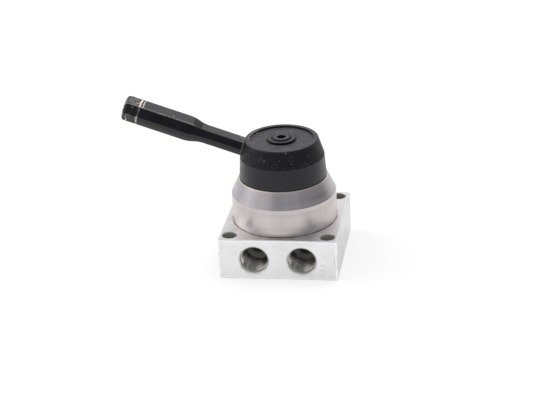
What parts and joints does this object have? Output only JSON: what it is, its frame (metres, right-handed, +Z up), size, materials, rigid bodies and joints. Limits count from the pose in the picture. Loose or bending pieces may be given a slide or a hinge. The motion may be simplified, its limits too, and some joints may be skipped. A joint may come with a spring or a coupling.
{
  "type": "hand lever air valve",
  "caption": "Hand lever air valve: a square ported block with a round bonnet and a turning hub whose lever switches air between ports.",
  "frame": {"origin": "centre of the valve block's underside", "axes": "+Z up along the spindle, +X away from the lever in its middle position, ports face -Y and +Y"},
  "size_m": [0.1036, 0.056, 0.0802],
  "materials": {
    "cast_aluminium": "satin",
    "turned_aluminium": "satin",
    "black_paint": "satin",
    "black_steel": "satin",
    "steel": "satin",
    "spring_steel": "satin",
    "bronze": "satin",
    "black_rubber": "matte",
    "white_plastic": "matte"
  },
  "bodies": {
    "housing": {"valve_block": "cast_aluminium", "seat_plate": "steel", "seat_seals": "black_rubber", "seat_pins": "steel", "shaft_bush": "bronze", "bonnet": "turned_aluminium", "bonnet_seal": "black_rubber", "bonnet_screws": "steel", "stop_pin": "steel"},
    "handle": {"lever_handle": "black_paint", "clamp_collar": "black_steel", "lever_screw": "black_steel", "spindle": "steel", "spindle_seal": "black_rubber", "thrust_washer": "white_plastic", "rotor_disc": "white_plastic", "rotor_spring": "spring_steel", "detent_spring_1": "spring_steel", "detent_spring_2": "spring_steel"},
    "ball_1": {"detent_ball_1": "steel"},
    "ball_2": {"detent_ball_2": "steel"}
  },
  "joints": [
    {"name": "lever_turn", "type": "hinge", "parent": "housing", "child": "handle", "pos_m": [0, 0, 0.04], "axis": [0, 0, 1], "range_deg": [-45, 45]},
    {"name": "detent_1", "type": "slide", "parent": "handle", "child": "ball_1", "axis": [0, 0, -1], "range_m": [0, 0.0003], "stiffness_N_per_m": 2000, "springref_m": 0.002, "deforming": ["detent_spring_1"]},
    {"name": "detent_2", "type": "slide", "parent": "handle", "child": "ball_2", "axis": [0, 0, -1], "range_m": [0, 0.0003], "stiffness_N_per_m": 2000, "springref_m": 0.002, "deforming": ["detent_spring_2"]}
  ]
}
